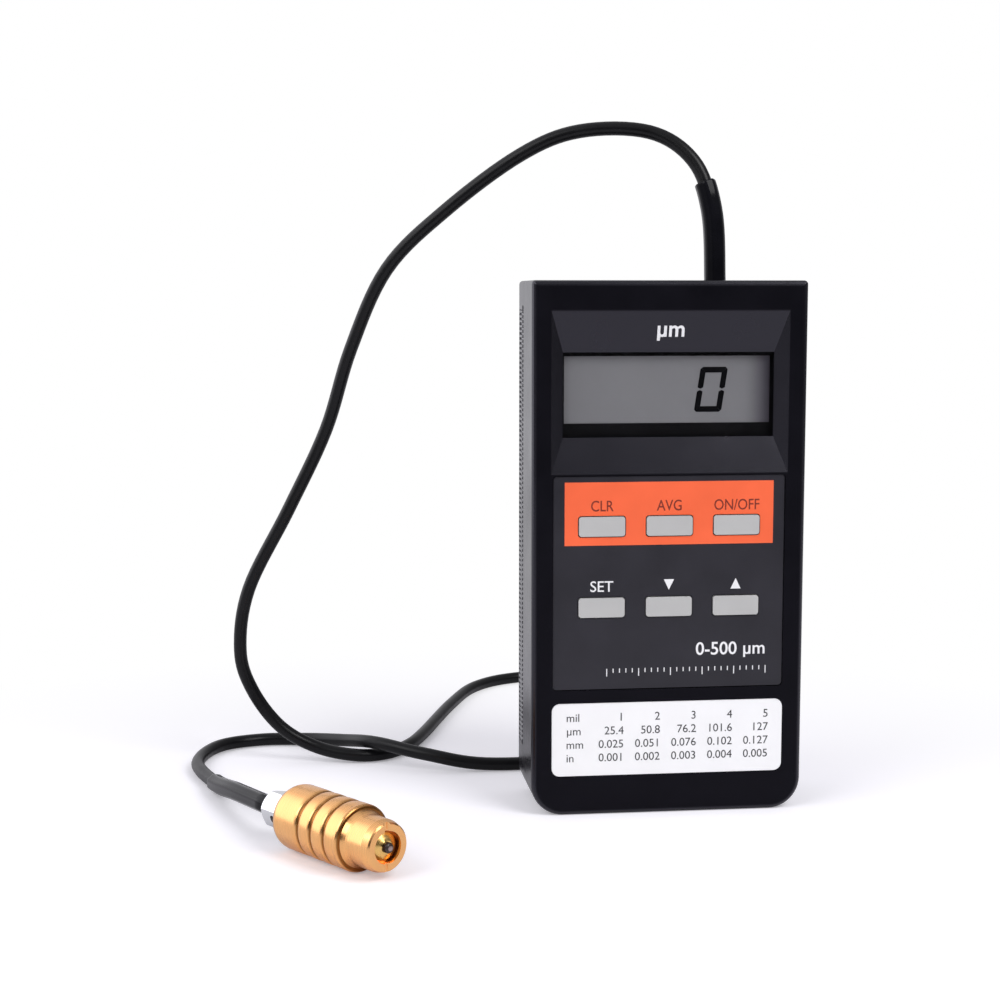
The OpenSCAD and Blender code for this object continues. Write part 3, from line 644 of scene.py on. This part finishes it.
NODE_FINISH = {
    "front_shell": "case", "rear_shell": "case", "battery_door": "door", "display_window": "window",
    "lcd_panel": "lcd", "lcd_holder": "epoxy", "contact_strips": "strip", "keypad_overlay": "film",
    **{key: "key" for key in KEYS}, "key_switches": "epoxy", "label_plate": "label", "main_board": "board",
    "processor": "epoxy", "support_chips": "epoxy", "crystal": "steel", "capacitors": "can",
    "buzzer": "epoxy", "probe_socket": "nylon", "probe_plug": "nylon", "cord_clamp": "epoxy",
    "clamp_screws": "steel", "board_screws": "steel", "case_screws": "steel", "battery_block": "jacket",
    "battery_terminals": "steel", "battery_snap": "epoxy", "red_lead": "red_vinyl", "black_lead": "cord",
    "case_sleeve": "sleeve", "probe_cord": "cord", "tail_sleeve": "sleeve", "probe_collar": "chrome",
    "collar_screw": "black_steel", "probe_grip": "brass", "probe_nose": "nose_brass",
    "probe_plunger": "bright_brass", "probe_tip": "ferrite", "probe_spring": "steel",
}

for node, finish in NODE_FINISH.items():
    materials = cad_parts[node].data.materials
    materials.clear()
    materials.append(FINISH[finish])


# Softened edges on the visible CAD solids

KEY_EDGE = 0.4
EDGE_WIDTH = {
    "front_shell": 0.12, "rear_shell": 0.15, "battery_door": 0.2, "label_plate": 0.06,
    "keypad_overlay": 0.06, **{key: KEY_EDGE for key in KEYS}, "probe_collar": 0.4, "probe_plunger": 0.1,
}
EDGE_STEPS = 3
EDGE_ANGLE = 38
WELD_GAP = 0.002


def soften(piece, width):
    weld = piece.modifiers.new("weld", "WELD")
    weld.merge_threshold = WELD_GAP * MM
    bevel = piece.modifiers.new("soft_edges", "BEVEL")
    bevel.width = width * MM
    bevel.segments = EDGE_STEPS
    bevel.limit_method = "ANGLE"
    bevel.angle_limit = radians(EDGE_ANGLE)
    bevel.use_clamp_overlap = True
    bevel.harden_normals = False


for node, width in EDGE_WIDTH.items():
    soften(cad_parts[node], width)


# Orange field and display

KEY_HOLE = (13.5, 6.0)
KEY_HOLE_R = 0.9
ORANGE_HALF_W = 29.6
ORANGE_Z = (76.7, 94.4)
LCD_HALF_W = 29.2
LCD_Z = (110.4, 129.1)
MASK_HALF_W = 32.0
MASK_Z = (104.5, 132.0)
# The mask lies between the window and the digit, and the digit just in front of the panel
MASK_FRONT = WINDOW_BACK + 0.03
DIGIT_FRONT = LCD_FRONT - 0.04
DIGIT_BACK = LCD_FRONT - 0.005
DIGIT_X = 7.6
DIGIT_Z = 113.4
DIGIT_W = 7.8
DIGIT_H = 12.6
DIGIT_T = 1.6
DIGIT_CUT = 0.65
DIGIT_POINT = 0.4
DIGIT_SLANT = 0.15
CORNER_GAP = 0.01
MIDDLE_GAP = 0.18


def make_orange_field():
    half_w, half_h = KEY_HOLE[0] / 2, KEY_HOLE[1] / 2
    z = KEY_ROW[0]
    holes = [rectangle(x - half_w, x + half_w, z - half_h, z + half_h, KEY_HOLE_R)[::-1] for x in KEY_X]
    s = Solid()
    add_print(s, rectangle(-ORANGE_HALF_W, ORANGE_HALF_W, *ORANGE_Z), holes)
    s.piece("orange_field", "orange")


def make_mask():
    hole = rectangle(-LCD_HALF_W, LCD_HALF_W, *LCD_Z)[::-1]
    s = Solid()
    add_plate(s, rectangle(-MASK_HALF_W, MASK_HALF_W, *MASK_Z), [hole], MASK_FRONT, DIGIT_FRONT)
    s.piece("window_mask", "mask")


def make_digit():
    """Slanted seven-segment zero: a bottom and a lower left segment, mirrored."""
    w, h, t = DIGIT_W, DIGIT_H, DIGIT_T
    cut, half, gap = DIGIT_CUT, DIGIT_CUT / 2, CORNER_GAP
    middle = h / 2 - MIDDLE_GAP
    bottom = [(cut, 0), (w - cut, 0), (w - half - gap, half), (w - t - gap, t), (t + gap, t),
              (half + gap, half)]
    lower_left = [(0, cut), (half, half + gap), (t, t + gap), (t, middle - DIGIT_POINT), (t / 2, middle),
                  (0, middle - DIGIT_POINT)]
    segments = []
    for flip_x, flip_z in ((0, 0), (1, 0), (0, 1), (1, 1)):
        shape = [(w - x if flip_x else x, h - z if flip_z else z) for x, z in lower_left]
        segments.append(shape[::-1] if flip_x != flip_z else shape)
    segments += [bottom, [(x, h - z) for x, z in bottom][::-1]]
    s = Solid()
    for shape in segments:
        outline = [(DIGIT_X + x + DIGIT_SLANT * z, DIGIT_Z + z) for x, z in shape]
        add_plate(s, outline, [], DIGIT_FRONT, DIGIT_BACK)
    s.piece("lcd_digit", "segment")


# Lettering: words and arrows over the keys, a range with a tick scale, the unit and a conversion table

TOP_WORDS = ("CLR", "AVG", "ON/OFF")
LEGEND_H = 3.0
LEGEND_BOLD = 0.02
TOP_WORD_WIDTH = 0.84
LEGEND_RISE = (4.3, 4.5)
LEGEND_Z = [row + rise for row, rise in zip(KEY_ROW, LEGEND_RISE)]
ARROW_HALF = 1.45
ARROW_RISE = (0.2, 3.2)
RANGE_X = (-17.5, 28.0)
RANGE_Z = 39.6
RANGE_STEPS = 25
RANGE_WORD_RISE = 5.6
RANGE_WORD_H = 3.6
RANGE_WORD_BOLD = 0.06
TICK_HALF = 0.13
TICK_TOP = 2.2
SHORT_TICK_RISE = 1.0
LONG_TICK_EVERY = 5
UNIT_Z = 134.6
UNIT_H = 4.4
UNIT_BOLD = 0.12
# Outer and inner edge of the display funnel's upper sloped face, as (z, y)
FACET_OUTER = (142.0, CASE_FRONT)
FACET_INNER = (130.2, -12.0)
TABLE_TOP = 26.9
TABLE_STEP = 3.85
TABLE_H = 2.3
TABLE_X = (-29.0, -12.5, -2.1, 8.3, 18.7, 29.1)
TABLE = (
    ("mil", "1", "2", "3", "4", "5"),
    ("\u00b5m", "25.4", "50.8", "76.2", "101.6", "127"),
    ("mm", "0.025", "0.051", "0.076", "0.102", "0.127"),
    ("in", "0.001", "0.002", "0.003", "0.004", "0.005"),
)


def on_plane(y):
    """Surface for add_text: a plane that faces the front."""
    return lambda z: y


def on_facet(z):
    """Surface for add_text: the funnel's upper sloped face."""
    (outer_z, outer_y), (inner_z, inner_y) = FACET_OUTER, FACET_INNER
    return outer_y + (outer_z - z) / (outer_z - inner_z) * (inner_y - outer_y)


def add_arrows(solid):
    """Arrow down over the middle key of the lower row, and arrow up over the right one."""
    low, high = [LEGEND_Z[1] + rise for rise in ARROW_RISE]
    down, up = KEY_X[1:]
    add_print(solid, [(down, low), (down + ARROW_HALF, high), (down - ARROW_HALF, high)])
    add_print(solid, [(up - ARROW_HALF, low), (up + ARROW_HALF, low), (up, high)])


def add_range(solid):
    start, end = RANGE_X
    add_text(solid, "0-500 \u00b5m", end, RANGE_Z + RANGE_WORD_RISE, RANGE_WORD_H, on_plane(OVERLAY_Y),
             "RIGHT", RANGE_WORD_BOLD)
    for k in range(RANGE_STEPS + 1):
        x = start + (end - start) * k / RANGE_STEPS
        low = RANGE_Z if k % LONG_TICK_EVERY == 0 else RANGE_Z + SHORT_TICK_RISE
        add_print(solid, rectangle(x - TICK_HALF, x + TICK_HALF, low, RANGE_Z + TICK_TOP))


def make_legends():
    red = Solid()
    for x, text in zip(KEY_X, TOP_WORDS):
        add_text(red, text, x, LEGEND_Z[0], LEGEND_H, on_plane(OVERLAY_Y - INK_T), bold=LEGEND_BOLD,
                 width=TOP_WORD_WIDTH)
    red.piece("top_legends", "red_ink")
    white = Solid()
    add_text(white, "SET", KEY_X[0], LEGEND_Z[1], LEGEND_H, on_plane(OVERLAY_Y), bold=LEGEND_BOLD)
    add_arrows(white)
    add_range(white)
    white.piece("white_legends", "white_ink")
    unit = Solid()
    add_text(unit, "\u00b5m", 0, UNIT_Z, UNIT_H, on_facet, bold=UNIT_BOLD)
    unit.piece("display_unit", "white_ink")


def make_table():
    """Conversion table of thickness units on the label."""
    s = Solid()
    for row, cells in enumerate(TABLE):
        z = TABLE_TOP - row * TABLE_STEP
        for column, cell in enumerate(cells):
            add_text(s, cell, TABLE_X[column], z, TABLE_H, on_plane(LABEL_Y), "RIGHT" if column else "LEFT")
    s.piece("label_table", "dark_ink")


make_orange_field()
make_mask()
make_digit()
make_legends()
make_table()


# Cord, and its sleeves: thin tubes with rounded lips, given as (distance from the end, change of radius)

CORD_SIDES = 20
CASE_SLEEVE = (18.0, 55.0)
CASE_SLEEVE_R = 3.0
TAIL_SLEEVE_L = 58.5
TAIL_SLEEVE_R = 2.6
SLEEVE_SIDES = 56
SLEEVE_STEP = 1.0
SLEEVE_WAVE_H = 0.09
BORE_R = CORD_D / 2 + 0.04
LIP = 0.35
LIPS = ((0.0, -LIP), (0.03, -0.6 * LIP), (0.12, -0.2 * LIP), (LIP, 0.0))


def make_cord():
    s = Solid()
    s.close(rings_along(s, cord_points, [CORD_D / 2] * len(cord_points), CORD_SIDES))
    piece = s.piece("cord", "cord", sharp=SHARP_TUBE)
    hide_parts("probe_cord")
    return piece


def make_sleeve(name, node, start, end, outer_r):
    lip_radii = [outer_r + change for _, change in LIPS]
    first = places_along(cord_points, [start + d for d, _ in LIPS])
    line = places_along(cord_points, evenly(start + SLEEVE_STEP, end - SLEEVE_STEP, SLEEVE_STEP))
    last = places_along(cord_points, [end - d for d, _ in reversed(LIPS)])
    radii = lip_radii + [outer_r] * len(line) + lip_radii[::-1]
    s = Solid()
    outer = rings_along(s, first + line + last, radii, SLEEVE_SIDES, SLEEVE_WAVE_H)
    inner = rings_along(s, first[:1] + line + last[-1:], [BORE_R] * (len(line) + 2), SLEEVE_SIDES)
    s.loft(outer)
    s.loft(inner[::-1])
    s.bridge(outer[-1], inner[-1])
    s.bridge(inner[0], outer[0])
    piece = s.piece(name, "sleeve", sharp=SHARP_TUBE)
    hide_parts(node)
    return piece


# Probe: turned grip with rounded grooves, measuring tip and spring; profiles are (u, r) points

GRIP_SIDES = 96
GRIP_R = 8.8
GRIP_L = 29.5
GRIP_REAR = [
    (0.0, 5.8), (0.12, 6.4), (0.5, 7.2), (0.95, 7.75), (1.5, 8.2), (2.1, 8.5), (2.8, 8.7), (3.4, 8.78)]
GRIP_EDGE = 1.1
GRIP_EDGE_STEPS = 4
GRIP_BORE = [(GRIP_L, 5.05), (23.5, 5.05), (23.5, 4.3), (5.0, 4.3), (5.0, 3.75), (0.0, 3.75)]
BANDS_U = (4.0, GRIP_L - GRIP_EDGE - 0.2)
BAND_STEPS = 6
CROWN = 0.08
GROOVES = (12.5, 18.0, 23.5)
GROOVE_HALF = 0.85
GROOVE_DEPTH = 0.6
GROOVE_POWER = 1.3
GROOVE_STEPS = 8
TIP_SIDES = 48
TIP_FRONT = 40.6
TIP_R = 1.4
TIP_DOME = 0.85
TIP_DOME_STEPS = 10
TIP_SHANK = [(35.6, 1.1), (39.15, 1.1), (39.15, TIP_R)]
SPRING_SIDES = 10
SPRING_WIRE = 0.7
SPRING_R = 3.35
SPRING_TURNS = 8
SPRING_STEPS = 24
SPRING_U = (5.4, 21.55)


def grip_band(u0, u1):
    """Slightly crowned surface between two grooves."""
    shares = [k / BAND_STEPS for k in range(BAND_STEPS + 1)]
    return [(u0 + (u1 - u0) * t, GRIP_R - CROWN * (2 * t - 1) ** 2) for t in shares]


def grip_groove(u):
    """Rounded groove round the grip."""
    shares = [k / GROOVE_STEPS for k in range(1, GROOVE_STEPS)]
    return [(u + GROOVE_HALF * (2 * t - 1), GRIP_R - CROWN - GROOVE_DEPTH * sin(pi * t) ** GROOVE_POWER)
            for t in shares]


def grip_front():
    """Rounded front edge of the grip."""
    angles = [pi / 2 * k / GRIP_EDGE_STEPS for k in range(GRIP_EDGE_STEPS + 1)]
    return [(GRIP_L - GRIP_EDGE * (1 - sin(a)), GRIP_R - GRIP_EDGE * (1 - cos(a))) for a in angles]


def make_grip():
    starts = [BANDS_U[0]] + [groove + GROOVE_HALF for groove in GROOVES]
    ends = [groove - GROOVE_HALF for groove in GROOVES] + [BANDS_U[1]]
    profile = GRIP_REAR + grip_band(starts[0], ends[0])
    for groove, start, end in zip(GROOVES, starts[1:], ends[1:]):
        profile += grip_groove(groove) + grip_band(start, end)
    s = Solid()
    loops = turn(s, profile + grip_front() + GRIP_BORE, GRIP_SIDES)
    s.loft(loops)
    s.bridge(loops[-1], loops[0])
    piece = s.piece("turned_grip", "brass", sharp=SHARP_TURNED)
    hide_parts("probe_grip")
    return piece


def make_tip():
    angles = [pi / 2 * k / TIP_DOME_STEPS for k in range(TIP_DOME_STEPS)]
    dome = [(TIP_FRONT - TIP_DOME * (1 - sin(a)), TIP_R * cos(a)) for a in angles]
    s = Solid()
    s.close(turn(s, TIP_SHANK + dome, TIP_SIDES))
    piece = s.piece("domed_tip", "ferrite", "probe_plunger", sharp=SHARP_TURNED)
    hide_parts("probe_tip")
    return piece


def make_spring():
    """Coil spring behind the plunger's flange."""
    down = -UP
    across = PROBE_AXIS.cross(down)
    steps = SPRING_TURNS * SPRING_STEPS
    start, end = SPRING_U
    line = []
    for k in range(steps + 1):
        a = 2 * pi * SPRING_TURNS * k / steps
        centre = probe_point(start + (end - start) * k / steps)
        line.append(centre + SPRING_R * (cos(a) * down + sin(a) * across))
    s = Solid()
    s.close(rings_along(s, line, [SPRING_WIRE / 2] * len(line), SPRING_SIDES))
    piece = s.piece("coil_spring", "steel", sharp=SHARP_TUBE)
    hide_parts("probe_spring")
    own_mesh(piece)
    return piece


cord = make_cord()
case_sleeve = make_sleeve("case_sleeve_tube", "case_sleeve", *CASE_SLEEVE, CASE_SLEEVE_R)
tail_sleeve = make_sleeve("tail_sleeve_tube", "tail_sleeve", cord_length - TAIL_SLEEVE_L, cord_length,
                          TAIL_SLEEVE_R)
grip = make_grip()
tip = make_tip()
spring = make_spring()


# Floor: paper with a faint glow near the object, and plain white for the camera further away

FLOOR_FRONT = -450
FLOOR_HALF = 700
FLOOR_BACK = 900
FLOOR_MIDDLE = Vector((-50, -40, 0))
FLOOR_FADE = (120, 270)
PAPER = (0.86, 0.85, 0.89)
GLOW = (0.96, 0.95, 1)
GLOW_STRENGTH = 0.27
# Share of the white that reflections see, which grows towards the back
BACK_WHITE = 0.4
BACK_FADE = (150, 400)


def floor_paper(name):
    f = Finish(name)
    paper = f.node("ShaderNodeBsdfDiffuse", Color=PAPER).outputs[0]
    glow = f.node("ShaderNodeEmission", Color=GLOW, Strength=GLOW_STRENGTH).outputs[0]
    white = f.node("ShaderNodeEmission", Color=WHITE, Strength=1.0).outputs[0]
    far = f.fade(f.vectors("DISTANCE", f.coords, tuple(FLOOR_MIDDLE * MM)), *FLOOR_FADE)
    seen = f.combine("ShaderNodeMixShader", far, f.combine("ShaderNodeAddShader", paper, glow), white)
    rays = f.node("ShaderNodeLightPath").outputs
    back = f.fade(f.split(f.coords)["Y"], *BACK_FADE, 0, BACK_WHITE)
    shown = f.maths("MAXIMUM", rays["Is Camera Ray"], f.maths("MULTIPLY", rays["Is Glossy Ray"], back))
    final = f.combine("ShaderNodeMixShader", shown, paper, seen)
    f.join(final, f.tree.nodes["Material Output"].inputs["Surface"])
    return f.material


def make_floor():
    corners = [(-FLOOR_HALF, FLOOR_FRONT), (FLOOR_HALF, FLOOR_FRONT), (FLOOR_HALF, FLOOR_BACK),
               (-FLOOR_HALF, FLOOR_BACK)]
    mesh = bpy.data.meshes.new("floor")
    mesh.from_pydata([(x * MM, y * MM, 0) for x, y in corners], [], [(0, 1, 2, 3)])
    floor = add_object("floor", mesh)
    mesh.materials.append(floor_paper("floor_white"))


# World: places are parts of a unit direction, and each light is a pair of strengths between them

SOFTBOX = (-0.885, 0.3, 0.355)
SOFTBOX_EDGE = (0.74, 0.95)
SOFTBOX_LIGHT = (0.0, 1.15)
BACK_Y = (-0.7, 0.0)
BACK_LIGHT = (0.02, 0.95)
ACROSS_X = (-0.3, 0.7)
ACROSS_LIGHT = (1.0, 0.25)
ABOVE_Z = (0.1, 0.6)
ABOVE_LIGHT = (0.0, 0.38)
EVEN_LIGHT = 0.5
SHADE_TINT = (0.96, 0.955, 1)


def make_world():
    """White to the camera, even for soft light; for reflections a softbox on the left, dim in front."""
    world = bpy.data.worlds.new("studio")
    bpy.context.scene.world = world
    world.use_nodes = True
    g = Graph(world.node_tree)
    direction = g.node("ShaderNodeTexCoord").outputs["Generated"]
    x, y, z = g.split(direction)
    softbox = g.ease(g.vectors("DOT_PRODUCT", direction, SOFTBOX), SOFTBOX_LIGHT, SOFTBOX_EDGE)
    behind = g.maths("MULTIPLY", g.ease(y, BACK_LIGHT, BACK_Y), g.ease(x, ACROSS_LIGHT, ACROSS_X))
    above = g.ease(z, ABOVE_LIGHT, ABOVE_Z)
    studio = g.maths("ADD", g.maths("MAXIMUM", behind, above), softbox)
    rays = g.node("ShaderNodeLightPath").outputs
    mirrored = g.maths("MAXIMUM", rays["Is Glossy Ray"], rays["Is Transmission Ray"])
    strength = g.mix("FLOAT", rays["Is Camera Ray"], g.mix("FLOAT", mirrored, EVEN_LIGHT, studio), 1.0)
    background = g.tree.nodes["Background"]
    g.join(strength, background.inputs["Strength"])
    g.join(g.blend(rays["Is Camera Ray"], SHADE_TINT, WHITE), background.inputs["Color"])


# Lamps: place, size, and power in watts

LAMP_AIM = Vector((-30, 0, 70))
LAMPS = {
    "key": (Vector((550, -750, 950)), 700, 8.1),
    "fill": (Vector((-800, -550, 750)), 800, 4.5),
}


def make_lamp(name, place, size, power):
    data = bpy.data.lights.new(name, "AREA")
    data.shape = "DISK"
    data.size = size * MM
    data.energy = power
    lamp = add_object(name, data)
    lamp.location = place * MM
    look_along(lamp, LAMP_AIM - place)


make_floor()
make_world()
for name, values in LAMPS.items():
    make_lamp(name, *values)

bpy.context.scene.view_settings.view_transform = "Standard"
